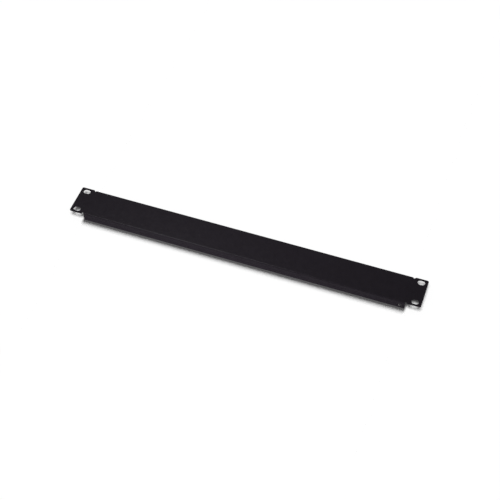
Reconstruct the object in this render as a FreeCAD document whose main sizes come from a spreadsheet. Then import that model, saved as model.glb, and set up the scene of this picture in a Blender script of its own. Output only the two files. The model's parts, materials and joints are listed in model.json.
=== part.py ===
"""Rack blanking panel, one rack unit high, for a nineteen inch rack.

One steel sheet closes an unused rack unit. Its front plate is flat from end to end. The ears
at the two ends lie against the rack's rails, each with a slot for a rack screw at its two
corners. Between the ears the two long edges are folded back at a right angle, so that the
panel is a shallow channel and stays straight. A relief notch at each end of a fold keeps the
sheet from tearing where the flange parts from the ear. One flange has a small hole for the
hook that carries the panel through the powder-coating line.

Lengths are in millimetres. X runs along the panel and Y across it, both from the middle of
the screw pattern. Z points out of the rack, from the ears' back, which the rails touch.
The panel is the same end for end and edge for edge, apart from the hook's hole, so one
quarter of it is drawn and then mirrored twice.
"""

import FreeCAD, Part
import Sketcher
import math
import os

SIZES = {
    # The front plate: it fills one rack unit less the gap to the next panel.
    "panel_width": 482.6,
    "panel_height": 43.66,
    "sheet_thickness": 1.2,
    "ear_corner_radius": 2.0,
    # The folds: a flange's depth is from the front face to its free edge.
    "flange_depth": 12.0,
    "bend_inner_radius": 0.4,
    # The slots: their middles lie 465.1 by 31.75 apart, on the holes of the rack's rails.
    "slot_from_end": 8.75,
    "slot_from_edge": 5.955,
    "slot_length": 9.7,
    "slot_width": 7.1,
    # The relief notches: each ear keeps some sheet between its slots and its notches.
    "slot_to_relief": 4.2,
    "relief_width": 2.5,
    "relief_past_bend": 0.1,
    # The hook's hole, halfway up the flat of one flange.
    "hook_hole_diameter": 4.0,
    "hook_hole_from_end": 6.0,
}

# Places that follow from the sizes, in the quarter towards +X and +Y.
HALF_WIDTH = "Sizes.panel_width / 2"
HALF_HEIGHT = "Sizes.panel_height / 2"
SLOT_X = f"{HALF_WIDTH} - Sizes.slot_from_end"
SLOT_Y = f"{HALF_HEIGHT} - Sizes.slot_from_edge"
SLOT_STRAIGHT = "(Sizes.slot_length - Sizes.slot_width)"
EAR_START = f"{SLOT_X} - Sizes.slot_length / 2 - Sizes.slot_to_relief"
FLANGE_END = f"{EAR_START} - Sizes.relief_width"
BEND_OUTER_RADIUS = "(Sizes.bend_inner_radius + Sizes.sheet_thickness)"
BEND_LINE = f"{HALF_HEIGHT} - {BEND_OUTER_RADIUS}"
RELIEF_FLOOR = f"{BEND_LINE} - Sizes.relief_past_bend"
FREE_EDGE = "(Sizes.sheet_thickness - Sizes.flange_depth)"
HOOK_HOLE_X = f"{FLANGE_END} - Sizes.hook_hole_from_end"
HOOK_HOLE_DROP = f"(Sizes.bend_inner_radius - {FREE_EDGE}) / 2"

# The points of a sketch's sides, as constraints number them, and the sketch's own origin.
START, END, CENTRE = 1, 2, 3
ORIGIN = (-1, START)

# Two points closer than this are one.
SAME_PLACE = 1e-4


def make_sizes(doc):
    """Write each size into its own named cell."""
    sheet = doc.addObject("Spreadsheet::Sheet", "Sizes")
    for row, (alias, value) in enumerate(SIZES.items(), start=1):
        sheet.set(f"A{row}", alias)
        sheet.set(f"B{row}", str(value))
        sheet.setAlias(f"B{row}", alias)
    doc.recompute()


def places(body, *expressions):
    """Work out expressions of the sizes, to draw a sketch's sides where they will stay."""
    return [float(body.evalExpression(expression)) for expression in expressions]


def origin_plane(body, role):
    """Find one of the body's own three planes."""
    return next(plane for plane in body.Origin.OriginFeatures if plane.Role == role)


def new_sketch(body, name, role):
    """Start a sketch on one of the body's own planes."""
    sketch = body.newObject("Sketcher::SketchObject", name)
    sketch.AttachmentSupport = [(origin_plane(body, role), "")]
    sketch.MapMode = "FlatFace"
    return sketch


def line(sketch, start, end):
    """Draw a straight side."""
    return sketch.addGeometry(Part.LineSegment(FreeCAD.Vector(*start), FreeCAD.Vector(*end)))


def circle(centre, radius):
    """Make a circle in a sketch's plane."""
    return Part.Circle(FreeCAD.Vector(*centre), FreeCAD.Vector(0, 0, 1), radius)


def arc(sketch, centre, radius, start_turn, end_turn):
    """Draw an arc, anticlockwise from one share of a full turn to another."""
    whole = circle(centre, radius)
    return sketch.addGeometry(Part.ArcOfCircle(whole, start_turn * math.tau, end_turn * math.tau))


def constrain(sketch, kind, *where):
    """Add a constraint without a size, such as one that joins two ends."""
    sketch.addConstraint(Sketcher.Constraint(kind, *where))


def dimension(sketch, kind, *where, to):
    """Add a constraint whose size follows an expression of the sheet's cells."""
    index = sketch.addConstraint(Sketcher.Constraint(kind, *where, *places(sketch, to)))
    sketch.setExpression(f"Constraints[{index}]", to)


def pad(body, name, sketch, length):
    """Thicken a sketch into sheet, along its plane's own direction."""
    feature = body.newObject("PartDesign::Pad", name)
    feature.Profile = sketch
    feature.setExpression("Length", length)
    body.Document.recompute()


def pocket(body, name, sketch):
    """Cut a sketch through the sheet, against the way that a pocket goes by itself."""
    before = body.Shape.Volume
    feature = body.newObject("PartDesign::Pocket", name)
    feature.Profile = sketch
    feature.Type = "ThroughAll"
    feature.Reversed = True
    body.Document.recompute()
    if body.Shape.Volume >= before:
        raise RuntimeError(f"{name} cuts nothing from the panel")


def add_plate(body):
    """Pad a quarter of the flat plate: half an ear, a relief notch and a part of the face."""
    half_width, half_height, ear_start, flange_end, bend_line, relief_floor = places(
        body, HALF_WIDTH, HALF_HEIGHT, EAR_START, FLANGE_END, BEND_LINE, RELIEF_FLOOR
    )
    corners = [
        (0, 0),
        (half_width, 0),
        (half_width, half_height),
        (ear_start, half_height),
        (ear_start, relief_floor),
        (flange_end, relief_floor),
        (flange_end, bend_line),
        (0, bend_line),
    ]
    sketch = new_sketch(body, "plate_outline", "XY_Plane")
    sides = [line(sketch, start, end) for start, end in zip(corners, corners[1:] + corners[:1])]
    for side, following in zip(sides, sides[1:] + sides[:1]):
        constrain(sketch, "Coincident", side, END, following, START)
    for side in sides[0::2]:
        constrain(sketch, "Horizontal", side)
    for side in sides[1::2]:
        constrain(sketch, "Vertical", side)
    middle, tip, _, ear_inside, notch_outside, notch_inside, bend_end, _ = sides
    constrain(sketch, "Coincident", middle, START, *ORIGIN)
    dimension(sketch, "DistanceX", *ORIGIN, tip, START, to=HALF_WIDTH)
    dimension(sketch, "DistanceX", *ORIGIN, ear_inside, START, to=EAR_START)
    dimension(sketch, "DistanceY", *ORIGIN, ear_inside, START, to=HALF_HEIGHT)
    dimension(sketch, "DistanceX", *ORIGIN, notch_inside, START, to=FLANGE_END)
    dimension(sketch, "DistanceY", *ORIGIN, notch_outside, START, to=RELIEF_FLOOR)
    dimension(sketch, "DistanceY", *ORIGIN, bend_end, START, to=BEND_LINE)
    pad(body, "plate", sketch, length="Sizes.sheet_thickness")


def add_flange(body):
    """Pad half of one fold, from the panel's middle to the relief notch.

    The bend's two arcs share one centre, so the sheet keeps its thickness all the way round.
    """
    outside, bend_line, outer_radius, inner_radius, free_edge, thickness = places(
        body,
        HALF_HEIGHT,
        BEND_LINE,
        BEND_OUTER_RADIUS,
        "Sizes.bend_inner_radius",
        FREE_EDGE,
        "Sizes.sheet_thickness",
    )
    inside = outside - thickness
    centre = (bend_line, -inner_radius)
    sketch = new_sketch(body, "flange_section", "YZ_Plane")
    outer_bend = arc(sketch, centre, outer_radius, 0, 1 / 4)
    inner_bend = arc(sketch, centre, inner_radius, 0, 1 / 4)
    outer_side = line(sketch, (outside, -inner_radius), (outside, free_edge))
    edge = line(sketch, (outside, free_edge), (inside, free_edge))
    inner_side = line(sketch, (inside, free_edge), (inside, -inner_radius))
    root = line(sketch, (bend_line, 0), (bend_line, thickness))
    constrain(sketch, "Tangent", outer_bend, START, outer_side, START)
    constrain(sketch, "Coincident", outer_side, END, edge, START)
    constrain(sketch, "Coincident", edge, END, inner_side, START)
    constrain(sketch, "Tangent", inner_side, END, inner_bend, START)
    constrain(sketch, "Coincident", inner_bend, END, root, START)
    constrain(sketch, "Coincident", root, END, outer_bend, END)
    constrain(sketch, "Coincident", outer_bend, CENTRE, inner_bend, CENTRE)
    constrain(sketch, "Vertical", inner_bend, CENTRE, root, START)
    constrain(sketch, "Vertical", outer_side)
    constrain(sketch, "Horizontal", edge)
    constrain(sketch, "Vertical", inner_side)
    constrain(sketch, "Vertical", root)
    dimension(sketch, "Radius", inner_bend, to="Sizes.bend_inner_radius")
    dimension(sketch, "DistanceX", *ORIGIN, root, START, to=BEND_LINE)
    dimension(sketch, "DistanceY", inner_bend, CENTRE, *ORIGIN, to="Sizes.bend_inner_radius")
    dimension(sketch, "DistanceY", root, START, root, END, to="Sizes.sheet_thickness")
    dimension(sketch, "DistanceY", edge, START, root, END, to="Sizes.flange_depth")
    pad(body, "flange", sketch, length=FLANGE_END)


def add_slot(body):
    """Cut an ear's slot for a rack screw: two half circles joined by straight sides."""
    slot_x, slot_y, straight, width = places(
        body, SLOT_X, SLOT_Y, SLOT_STRAIGHT, "Sizes.slot_width"
    )
    inner, outer = slot_x - straight / 2, slot_x + straight / 2
    low, high = slot_y - width / 2, slot_y + width / 2
    sketch = new_sketch(body, "slot_outline", "XY_Plane")
    inner_end = arc(sketch, (inner, slot_y), width / 2, 1 / 4, 3 / 4)
    outer_end = arc(sketch, (outer, slot_y), width / 2, 3 / 4, 5 / 4)
    lower_side = line(sketch, (inner, low), (outer, low))
    upper_side = line(sketch, (outer, high), (inner, high))
    constrain(sketch, "Tangent", inner_end, END, lower_side, START)
    constrain(sketch, "Tangent", lower_side, END, outer_end, START)
    constrain(sketch, "Tangent", outer_end, END, upper_side, START)
    constrain(sketch, "Tangent", upper_side, END, inner_end, START)
    constrain(sketch, "Horizontal", lower_side)
    constrain(sketch, "Equal", inner_end, outer_end)
    dimension(sketch, "Diameter", outer_end, to="Sizes.slot_width")
    dimension(sketch, "DistanceX", inner_end, CENTRE, outer_end, CENTRE, to=SLOT_STRAIGHT)
    dimension(sketch, "DistanceX", *ORIGIN, inner_end, CENTRE, to=f"{SLOT_X} - {SLOT_STRAIGHT} / 2")
    dimension(sketch, "DistanceY", *ORIGIN, inner_end, CENTRE, to=SLOT_Y)
    pocket(body, "slot", sketch)


def round_ear_corner(body):
    """Round the outer corner of the ear, the only edge that stands over that corner."""
    corner = FreeCAD.Vector(*places(body, HALF_WIDTH, HALF_HEIGHT))
    last = body.Tip
    edges = [
        f"Edge{number}"
        for number, edge in enumerate(last.Shape.Edges, start=1)
        if all((FreeCAD.Vector(v.X, v.Y) - corner).Length < SAME_PLACE for v in edge.Vertexes)
    ]
    rounding = body.newObject("PartDesign::Fillet", "ear_corner")
    rounding.Base = (last, edges)
    rounding.setExpression("Radius", "Sizes.ear_corner_radius")
    body.Document.recompute()


def mirror(body, name, role):
    """Mirror all that the body holds so far in one of its planes."""
    mirrored = body.newObject("PartDesign::Mirrored", name)
    mirrored.TransformMode = "Whole shape"
    mirrored.MirrorPlane = (origin_plane(body, role), [""])
    body.Tip = mirrored
    body.Document.recompute()


def add_hook_hole(body):
    """Cut the hook's hole through the flange towards -Y, near the flange's +X end."""
    across, drop, diameter = places(
        body, HOOK_HOLE_X, HOOK_HOLE_DROP, "Sizes.hook_hole_diameter"
    )
    sketch = new_sketch(body, "hook_hole_outline", "XZ_Plane")
    rim = sketch.addGeometry(circle((across, -drop), diameter / 2))
    dimension(sketch, "Diameter", rim, to="Sizes.hook_hole_diameter")
    dimension(sketch, "DistanceX", *ORIGIN, rim, CENTRE, to=HOOK_HOLE_X)
    dimension(sketch, "DistanceY", rim, CENTRE, *ORIGIN, to=HOOK_HOLE_DROP)
    pocket(body, "hook_hole", sketch)


def check(doc, body):
    """Stop if an object failed, a sketch can still move or the panel isn't one sound solid."""
    failed = [item.Name for item in doc.Objects if {"Invalid", "Error"} & set(item.State)]
    loose = [item.Name for item in body.Group if not getattr(item, "FullyConstrained", True)]
    if failed or loose:
        raise RuntimeError(f"failed: {failed}, not fully constrained: {loose}")
    if body.Shape.isNull() or not body.Shape.isValid() or len(body.Shape.Solids) != 1:
        raise RuntimeError(f"{body.Label} isn't one sound solid")


def main():
    """Build the panel, check it and write its file."""
    doc = FreeCAD.newDocument("rack_blanking_panel")
    make_sizes(doc)
    panel = doc.addObject("PartDesign::Body", "Panel")
    panel.Label = "blanking_panel"
    add_plate(panel)
    add_flange(panel)
    add_slot(panel)
    round_ear_corner(panel)
    mirror(panel, "both_ends", "YZ_Plane")
    mirror(panel, "both_edges", "XZ_Plane")
    add_hook_hole(panel)
    check(doc, panel)
    os.makedirs("parts", exist_ok=True)
    panel.Shape.exportStep(f"parts/{panel.Label}.step")


main()
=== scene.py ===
"""Looks of a rack blanking panel: one folded steel sheet with a black powder coat.

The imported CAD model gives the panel's box, its screw slots and its hook hole. The sheet's
middle surface is worked out here as a flat blank, folded by a formula and given its thickness,
with the rounded edges that a powder coat leaves. All lengths are in metres.
"""

import bpy
import json
import math
import numpy as np
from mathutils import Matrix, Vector


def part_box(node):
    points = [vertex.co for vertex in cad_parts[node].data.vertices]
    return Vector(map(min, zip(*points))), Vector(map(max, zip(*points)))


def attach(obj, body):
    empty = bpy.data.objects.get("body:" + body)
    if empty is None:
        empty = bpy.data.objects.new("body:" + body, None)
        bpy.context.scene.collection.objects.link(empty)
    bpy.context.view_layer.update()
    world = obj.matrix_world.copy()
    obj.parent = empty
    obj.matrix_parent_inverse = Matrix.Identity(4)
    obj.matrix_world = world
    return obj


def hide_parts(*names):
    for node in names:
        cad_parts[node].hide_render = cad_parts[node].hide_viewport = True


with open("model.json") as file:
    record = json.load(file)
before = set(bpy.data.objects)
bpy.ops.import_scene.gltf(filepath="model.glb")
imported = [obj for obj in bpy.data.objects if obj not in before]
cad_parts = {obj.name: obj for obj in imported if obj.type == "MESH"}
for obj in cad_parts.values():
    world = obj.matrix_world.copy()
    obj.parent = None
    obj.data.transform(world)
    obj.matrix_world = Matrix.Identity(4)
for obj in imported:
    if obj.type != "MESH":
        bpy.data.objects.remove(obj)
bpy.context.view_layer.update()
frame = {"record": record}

MM = 0.001

# What the frame gives: the panel's box, the pattern of its slots, and its hook hole.
low_corner, high_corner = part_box("blanking_panel")
mounts = {mount["name"]: mount for mount in frame["record"]["mounts"]}
slots = mounts["rack_screws"]["dims"]
hook = mounts["hook_hole"]
half_width = high_corner.x
half_height = high_corner.y
front_face = high_corner.z
free_edge = low_corner.z
sheet_thickness = hook["dims"]["length_mm"] * MM
slot_x = slots["spacing_x_mm"] / 2 * MM
slot_y = slots["spacing_y_mm"] / 2 * MM
slot_radius = slots["hole_r_mm"] * MM
slot_half_straight = slots["slot_length_mm"] / 2 * MM - slot_radius
hook_x, _, hook_z = hook["pos_m"]
hook_centre = (hook_x, sheet_thickness / 2 - half_height, hook_z)
hook_radius = hook["dims"]["r_mm"] * MM

# What the part's source gives as well, but the frame doesn't name.
bend_inner_radius = 0.4 * MM
slot_to_relief = 4.2 * MM
relief_width = 2.5 * MM
relief_past_bend = 0.1 * MM
ear_corner_radius = 2.0 * MM

# The powder coat rounds the sheet's edges: each place where it turns by more than this angle.
coat_edge_radius = 0.2 * MM
least_edge_turn = math.radians(50)

# The sheet's middle surface: its plane, its bend and the flanges' flat.
middle_plane = front_face - sheet_thickness / 2
middle_radius = bend_inner_radius + sheet_thickness / 2
bend_line = half_height - bend_inner_radius - sheet_thickness
bend_length = middle_radius * math.pi / 2
flange_flat = middle_plane - middle_radius - free_edge
relief_floor = bend_line - relief_past_bend
ear_start = slot_x - slot_half_straight - slot_radius - slot_to_relief
flange_end = ear_start - relief_width

# How finely the sheet is drawn: the count of steps along each stretch of it.
hook_cell_steps = 16
flange_long_steps = 84
flange_deep_steps = 14
face_steps = 28
bend_steps = 9
neck_steps = 4
ear_steps = 24
ear_corner_steps = 8
hook_ring_steps = 6
slot_ring_steps = 8

# How far apart two places may be and still count as one: among the blank's rows, when its
# patches are welded, and for a sum's rounding error.
row_slack = 0.01 * MM
weld_slack = 0.001 * MM
float_slack = 1e-9


def hex_colour(code):
    """Turn an sRGB hex colour into linear red, green, blue and alpha."""
    channels = np.array([int(code[i : i + 2], 16) for i in (1, 3, 5)]) / 255
    linear = np.where(channels <= 0.04045, channels / 12.92, ((channels + 0.055) / 1.055) ** 2.4)
    return (*linear, 1.0)


def add_node(tree, kind, inputs=None, **settings):
    """Add a node: settings are its own properties, inputs its sockets' values or links."""
    node = tree.nodes.new(kind)
    for name, value in settings.items():
        setattr(node, name, value)
    for socket, value in (inputs or {}).items():
        if isinstance(value, bpy.types.NodeSocket):
            tree.links.new(value, node.inputs[socket])
        else:
            node.inputs[socket].default_value = value
    return node


def new_material(name):
    """Start a material with an empty node tree."""
    material = bpy.data.materials.new(name)
    material.use_nodes = True
    material.node_tree.nodes.clear()
    return material, material.node_tree


# The panel's sheet.


def steps(*stops_and_counts):
    """Join evenly spaced stretches: a start, then the count of steps and the next stop."""
    stops = stops_and_counts[0::2]
    counts = stops_and_counts[1::2]
    parts = [np.linspace(a, b, n + 1)[:-1] for a, b, n in zip(stops, stops[1:], counts)]
    return np.concatenate([*parts, [stops[-1]]])


def grid(across, along):
    """A flat patch: every pair of one coordinate from each list, as a grid of points."""
    u, s = np.meshgrid(across, along, indexing="ij")
    return np.stack([u, s], axis=-1)


def ring(outline, centre, half_straight, radius, layers):
    """A flat patch round a hole, from the hole's rim to a closed outline.

    Each spoke runs straight from a point of the outline to the nearest point of the rim. The
    rim lies one radius from the hole's axis, which is a short straight line, or a point where
    the hole is round. The spoke's points are shared out by the given layers, 0 at the rim and
    1 at the outline.
    """
    axis = outline.copy()
    axis[:, 0] = np.clip(outline[:, 0], centre[0] - half_straight, centre[0] + half_straight)
    axis[:, 1] = centre[1]
    spoke = outline - axis
    rim = axis + radius * spoke / np.linalg.norm(spoke, axis=1, keepdims=True)
    share = np.asarray(layers)[None, :, None]
    spokes = rim[:, None] * (1 - share) + outline[:, None] * share
    return spokes[::-1]


def box_outline(sides_x, sides_y):
    """The closed outline of a box, through the given places along its sides."""
    x, y = np.asarray(sides_x), np.asarray(sides_y)
    bottom = np.stack([x[:-1], np.full(len(x) - 1, y[0])], axis=1)
    right = np.stack([np.full(len(y) - 1, x[-1]), y[:-1]], axis=1)
    top = np.stack([x[:0:-1], np.full(len(x) - 1, y[-1])], axis=1)
    left = np.stack([np.full(len(y) - 1, x[0]), y[:0:-1]], axis=1)
    outline = np.concatenate([bottom, right, top, left])
    return np.concatenate([outline, outline[:1]])


def round_corner(outline, corner, radius):
    """Move an outline's points that lie past a corner's rounding straight in onto its arc."""
    centre = corner - radius
    out = outline - centre
    past = (out > -float_slack).all(axis=1)
    length = np.linalg.norm(out[past], axis=1, keepdims=True)
    outline[past] = centre + radius * out[past] / length
    return outline


def fold(patch):
    """Fold a flat patch of the blank into the panel's middle surface.

    The first coordinate stays X. The second runs across the blank. Up to the bend line it
    stays Y. Over the bend it is the arc's length, so the angle is that length over the radius.
    Past the bend it runs straight down the flange.
    """
    u, s = patch[..., 0], patch[..., 1]
    past = np.abs(s) - bend_line
    angle = np.clip(past / middle_radius, 0, math.pi / 2)
    y = np.sign(s) * (np.minimum(np.abs(s), bend_line) + middle_radius * np.sin(angle))
    drop = middle_radius * (1 - np.cos(angle)) + np.maximum(past - bend_length, 0)
    return np.stack([u, y, middle_plane - drop], axis=-1)


def lay_flat(patch):
    """Set a flat patch that isn't folded, such as an ear's, on the sheet's middle plane."""
    return np.concatenate([patch, np.full((*patch.shape[:2], 1), middle_plane)], axis=-1)


def weld(patches):
    """Join patches of points into one mesh: points at one place are one vertex."""
    corners = []
    for patch in patches:
        a, b = patch[:-1, :-1], patch[1:, :-1]
        c, d = patch[1:, 1:], patch[:-1, 1:]
        corners.append(np.stack([a, b, c, d], axis=2).reshape(-1, 4, 3))
    corners = np.concatenate(corners)
    keys = np.round(corners.reshape(-1, 3) / weld_slack).astype(np.int64)
    _, first, index = np.unique(keys, axis=0, return_index=True, return_inverse=True)
    return corners.reshape(-1, 3)[first], index.reshape(-1, 4)


def mesh_object(name, points, faces):
    """Make a smooth-shaded object at the origin from points and four-sided faces."""
    mesh = bpy.data.meshes.new(name)
    mesh.from_pydata(points.tolist(), [], faces.tolist())
    mesh.polygons.foreach_set("use_smooth", np.ones(len(faces), dtype=bool))
    mesh.update()
    made = bpy.data.objects.new(name, mesh)
    bpy.context.scene.collection.objects.link(made)
    return made


def make_panel():
    """The whole sheet: the folded channel, its two necks and the four half ears.

    The channel's patches share their rows. They leave out the last stretch of the near flange,
    which is a ring round the hook hole. One half ear is worked out, and turned for the others.
    """
    hook_cell = 2 * (flange_end - hook_x)
    cell_start = flange_end - hook_cell
    along = steps(-flange_end, hook_cell_steps, -cell_start, flange_long_steps, cell_start,
                  hook_cell_steps, flange_end)
    end_along = along[along > cell_start - row_slack]
    face = steps(0, face_steps, relief_floor)
    bend_end = bend_line + bend_length
    flange = steps(bend_end, flange_deep_steps, bend_end + flange_flat)
    # One step takes in the little flat past the relief notch and the bend's first two steps.
    bend_start = bend_line + bend_length * 2 / bend_steps
    bend = steps(relief_floor, 1, bend_start, bend_steps - 2, bend_end)
    edge_side = np.concatenate([face, bend[1:]])
    patches = [
        fold(grid(along, np.concatenate([-edge_side[:0:-1], edge_side]))),
        fold(grid(along, flange)),
        fold(grid(along[along < cell_start + row_slack], -flange[::-1])),
    ]

    hook_s = -(bend_end + middle_plane - middle_radius - hook_z)
    cell = box_outline(end_along, -flange[::-1])
    layers = np.linspace(0, 1, hook_ring_steps + 1)
    patches.append(fold(ring(cell, (hook_x, hook_s), 0, hook_radius, layers)))

    neck = steps(flange_end, neck_steps, ear_start)
    across = np.concatenate([-face[:0:-1], face])
    ear_x = steps(ear_start, ear_steps, half_width - ear_corner_radius, ear_corner_steps,
                  half_width)
    ear_y = np.concatenate([face[:-1], steps(relief_floor, ear_corner_steps, half_height)])
    corner = np.array([half_width, half_height])
    outline = round_corner(box_outline(ear_x, ear_y), corner, ear_corner_radius)
    layers = np.linspace(0, 1, slot_ring_steps + 1)
    half_ear = lay_flat(ring(outline, (slot_x, slot_y), slot_half_straight, slot_radius, layers))
    neck_patch = lay_flat(grid(neck, across))
    for end in (1, -1):
        turned = neck_patch * (end, 1, 1)
        patches.append(turned if end > 0 else turned[::-1])
        for edge in (1, -1):
            turned = half_ear * (end, edge, 1)
            patches.append(turned if end * edge > 0 else turned[::-1])
    points, faces = weld(patches)
    return mesh_object("folded_sheet", points, faces)


# The middle surface gets its thickness, rounded edges, and shading that keeps its faces flat.
panel = make_panel()
solidify = panel.modifiers.new("sheet_thickness", "SOLIDIFY")
solidify.thickness = sheet_thickness
solidify.offset = 0
bevel = panel.modifiers.new("coated_edges", "BEVEL")
bevel.width = coat_edge_radius
bevel.segments = 3
bevel.limit_method = "ANGLE"
bevel.angle_limit = least_edge_turn
weighted = panel.modifiers.new("flat_faces", "WEIGHTED_NORMAL")
weighted.keep_sharp = True

# Finish.


def powder_coat():
    """Matt black polyester powder coat, sprayed on dry and baked into one skin.

    The powder doesn't level out fully, so the skin has a low orange peel with a tight grain on
    it. The eye gets an even soft black with a faint mottle, and a dull glint where the sheet
    bends. The wall of the hook hole is bare steel, which the coating line's hook kept the powder
    off, so it shows as one bright spot.
    """
    # Real peel is about 2 mm from crest to crest, and real grain 0.3 mm. Both are too fine and
    # too shallow to show here, so they are drawn coarser and deeper than they are.
    peel_size = 3.0 * MM
    peel_depth = 0.2 * MM
    grain_size = 0.9 * MM
    grain_depth = 0.09 * MM
    mottle_size = 9 * MM
    # The bare wall lies within this reach of the hole's middle, and the powder starts past it.
    wall_reach = math.hypot(hook_radius, sheet_thickness / 2)
    powder_start = wall_reach + 0.1 * MM

    material, tree = new_material("powder_coat_matt_black")
    place = add_node(tree, "ShaderNodeTexCoord").outputs["Object"]
    peel = add_node(tree, "ShaderNodeTexNoise",
                    {"Vector": place, "Scale": 1 / peel_size, "Detail": 1.0})
    grain = add_node(tree, "ShaderNodeTexNoise",
                     {"Vector": place, "Scale": 1 / grain_size, "Detail": 2.0})
    peel_bump = add_node(tree, "ShaderNodeBump",
                         {"Height": peel.outputs["Fac"], "Distance": peel_depth, "Strength": 1.0})
    bump = add_node(tree, "ShaderNodeBump",
                    {"Height": grain.outputs["Fac"], "Distance": grain_depth, "Strength": 1.0,
                     "Normal": peel_bump.outputs["Normal"]})
    mottle = add_node(tree, "ShaderNodeTexNoise",
                      {"Vector": place, "Scale": 1 / mottle_size, "Detail": 3.0})
    shade = add_node(tree, "ShaderNodeMix",
                     {"Factor": mottle.outputs["Fac"], "A": hex_colour("#1d191f"),
                      "B": hex_colour("#252127")}, data_type="RGBA")
    from_hook = add_node(tree, "ShaderNodeVectorMath", {0: place, 1: hook_centre},
                         operation="DISTANCE")
    bare = add_node(tree, "ShaderNodeMapRange",
                    {"Value": from_hook.outputs["Value"], "From Min": wall_reach,
                     "From Max": powder_start, "To Min": 1.0, "To Max": 0.0})
    colour = add_node(tree, "ShaderNodeMix",
                      {"Factor": bare.outputs["Result"], "A": shade.outputs["Result"],
                       "B": hex_colour("#b4b2ae")}, data_type="RGBA")
    gloss = add_node(tree, "ShaderNodeMapRange",
                     {"Value": mottle.outputs["Fac"], "To Min": 0.27, "To Max": 0.33})
    skin = add_node(tree, "ShaderNodeBsdfPrincipled", {
        "Base Color": colour.outputs["Result"],
        "Metallic": bare.outputs["Result"],
        "Roughness": gloss.outputs["Result"],
        "Specular IOR Level": 0.04,
        "Normal": bump.outputs["Normal"],
    })
    add_node(tree, "ShaderNodeOutputMaterial", {"Surface": skin.outputs["BSDF"]})
    return material


panel.data.materials.append(powder_coat())
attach(panel, "root")
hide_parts("blanking_panel")

# Studio.


def backdrop_seen(tree):
    """1 for a ray that sees the backdrop: straight from the camera, mirrored or through."""
    rays = add_node(tree, "ShaderNodeLightPath").outputs
    seen = rays["Is Camera Ray"]
    for kind in ("Is Glossy Ray", "Is Transmission Ray"):
        seen = add_node(tree, "ShaderNodeMath", {0: seen, 1: rays[kind]},
                        operation="MAXIMUM").outputs["Value"]
    return seen


def lay_card(name, material, height, spans, reach):
    """Lay flat cards at a height, as one piece.

    Each span gives a card's two edges along X. Along Y it runs from minus to plus its reach.
    """
    spans = np.asarray(spans)
    x = spans[:, [0, 1, 1, 0]]
    y = np.broadcast_to(reach * np.array([-1, -1, 1, 1]), x.shape)
    points = np.stack([x, y, np.full(x.shape, height)], axis=-1).reshape(-1, 3)
    card = mesh_object(name, points, np.arange(len(points)).reshape(-1, 4))
    card.data.materials.append(material)
    return card


def matt_white_card(name, feather=None):
    """White matt card, which the eye sees as plain white ground that keeps soft shadows.

    To the rays that see the backdrop it gives off a little light of its own, so that it is white
    in full. With a feather it is clear up to that distance from the panel's middle along X, and
    fades in from there on.
    """
    own_light = 0.03
    fade_width = 3 * MM

    material, tree = new_material(name)
    card = add_node(tree, "ShaderNodeBsdfDiffuse", {"Color": hex_colour("#fcfcfc")})
    glow = add_node(tree, "ShaderNodeEmission",
                    {"Color": (1, 1, 1, 1), "Strength": backdrop_seen(tree)})
    surface = add_node(tree, "ShaderNodeMixShader",
                       {0: own_light, 1: card.outputs["BSDF"], 2: glow.outputs["Emission"]})
    if feather is not None:
        place = add_node(tree, "ShaderNodeTexCoord").outputs["Object"]
        x = add_node(tree, "ShaderNodeSeparateXYZ", {"Vector": place}).outputs["X"]
        out = add_node(tree, "ShaderNodeMath", {0: x}, operation="ABSOLUTE").outputs["Value"]
        solid = add_node(tree, "ShaderNodeMapRange",
                         {"Value": out, "From Min": feather, "From Max": feather + fade_width})
        clear = add_node(tree, "ShaderNodeBsdfTransparent")
        surface = add_node(tree, "ShaderNodeMixShader",
                           {0: solid.outputs["Result"], 1: clear.outputs["BSDF"],
                            2: surface.outputs["Shader"]})
    add_node(tree, "ShaderNodeOutputMaterial", {"Surface": surface.outputs["Shader"]})
    return material


def hang_lamp(name, data, place, only, glint=False):
    """Hang a lamp that faces the origin. Flags keep its light off all but one piece.

    A glint only shows as its mirror image in the coat. Any other lamp is polarised: it lights
    the piece, and its mirror image is filtered out.
    """
    lamp = bpy.data.objects.new(name, data)
    lamp.location = place
    lamp.rotation_euler = Vector(place).to_track_quat("Z", "Y").to_euler()
    lamp.visible_camera = False
    lamp.visible_glossy = glint
    lamp.visible_diffuse = not glint
    lit = bpy.data.collections.new(name + "_lights")
    lit.objects.link(only)
    lamp.light_linking.receiver_collection = lit
    bpy.context.scene.collection.objects.link(lamp)
    return lamp


def far_lamp(name, place, width, share, only):
    """A round soft light so far off that its light is even.

    It looks width degrees wide, and gives a level white surface its share of full white.
    """
    data = bpy.data.lights.new(name, "SUN")
    data.energy = share * math.pi * math.hypot(*place) / place[2]
    data.angle = math.radians(width)
    hang_lamp(name, data, place, only)


def near_lamp(name, place, size, share, only, glint=False):
    """A round softbox, whose light falls off along the panel.

    It gives a level white surface at the origin its share of full white, or would if a glint
    lit it.
    """
    data = bpy.data.lights.new(name, "AREA")
    data.shape = "DISK"
    data.size = size
    data.energy = share * math.pi**2 * math.hypot(*place) ** 3 / place[2]
    hang_lamp(name, data, place, only, glint)


def ground_light(name, depth, level, only):
    """A strip of bright ground along the near flange's foot, which throws its light up.

    It reaches depth out from the flange, and shines level times as brightly as full white.
    """
    above_floor = 0.2 * MM
    data = bpy.data.lights.new(name, "AREA")
    data.shape = "RECTANGLE"
    data.size = 2 * flange_end
    data.size_y = depth
    data.energy = level * math.pi * data.size * data.size_y
    place = (0, -half_height - depth / 2, free_edge + above_floor)
    strip = hang_lamp(name, data, place, only)
    strip.rotation_euler = (math.pi, 0, 0)


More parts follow.
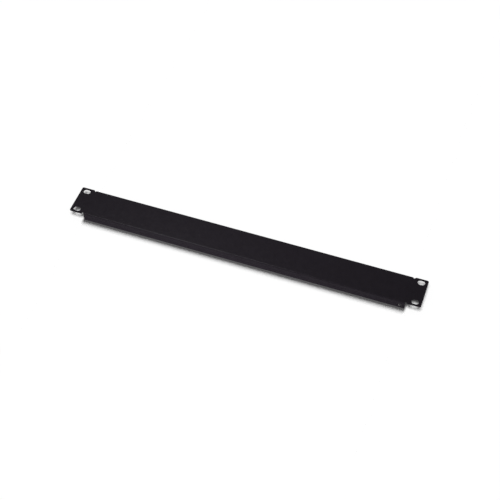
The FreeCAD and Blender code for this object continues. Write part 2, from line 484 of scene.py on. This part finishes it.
def studio_world(share):
    """A dim even surround, which gives the floor its share of full white.

    The camera and the coat's gloss see it as a white backdrop.
    """
    world = bpy.data.worlds.new("studio")
    bpy.context.scene.world = world
    world.use_nodes = True
    tree = world.node_tree
    tree.nodes.clear()
    dim = add_node(tree, "ShaderNodeBackground", {"Color": (1, 1, 1, 1), "Strength": share})
    white = add_node(tree, "ShaderNodeBackground", {"Color": (1, 1, 1, 1), "Strength": 1})
    surround = add_node(tree, "ShaderNodeMixShader",
                        {0: backdrop_seen(tree), 1: dim.outputs["Background"],
                         2: white.outputs["Background"]})
    add_node(tree, "ShaderNodeOutputWorld", {"Surface": surround.outputs["Shader"]})


def set_camera(azimuth, elevation, distance, target, lens):
    """Look at the target from an azimuth, counted from -Y towards +X, and an elevation."""
    back = np.array([math.sin(azimuth) * math.cos(elevation),
                     -math.cos(azimuth) * math.cos(elevation), math.sin(elevation)])
    data = bpy.data.cameras.new("camera")
    data.sensor_width = 36
    data.lens = lens
    camera = bpy.data.objects.new("camera", data)
    camera.location = target + back * distance
    camera.rotation_euler = (math.pi / 2 - elevation, 0, azimuth)
    bpy.context.scene.collection.objects.link(camera)
    bpy.context.scene.camera = camera


# The flanges' shadow falls forward, from a key light behind the panel. The ears' shadow falls
# almost straight down, from a key slightly in front. So the ends of the floor are a card of
# their own, laid just over the floor, and each card has its own key.
floor_reach = 12
card_lap = 0.05 * MM
floor = lay_card("floor", matt_white_card("matt_white_card"), free_edge,
                 spans=[(-floor_reach, floor_reach)], reach=floor_reach)
ends = lay_card("floor_ends", matt_white_card("matt_white_card_feathered", feather=flange_end),
                free_edge + card_lap,
                spans=[(-floor_reach, -flange_end), (flange_end, floor_reach)],
                reach=floor_reach)
ends.visible_shadow = False
far_lamp("flange_key", (0.07, 0.57, 1.0), width=33, share=0.93, only=floor)
far_lamp("ears_key", (0.04, -0.32, 1.0), width=31, share=0.93, only=ends)

# The coat has its own lamps: two softboxes, the ground's light on the near flange, and the
# glint that draws the bright line along the near bend.
near_lamp("coat_overhead", (-0.05, 0.0, 0.55), size=0.22, share=0.48, only=panel)
near_lamp("coat_front", (-0.10, -0.47, 0.17), size=0.35, share=0.20, only=panel)
near_lamp("bend_glint", (-0.23, 0.04, 0.55), size=0.36, share=1.25, only=panel, glint=True)
ground_light("coat_from_ground", depth=8 * MM, level=2.1, only=panel)
studio_world(share=0.11)
set_camera(azimuth=math.radians(19.446), elevation=math.radians(51.222), distance=1.50798,
           target=np.array([0.009295, -0.006276, front_face]), lens=83.51)
bpy.context.scene.view_settings.view_transform = "Standard"
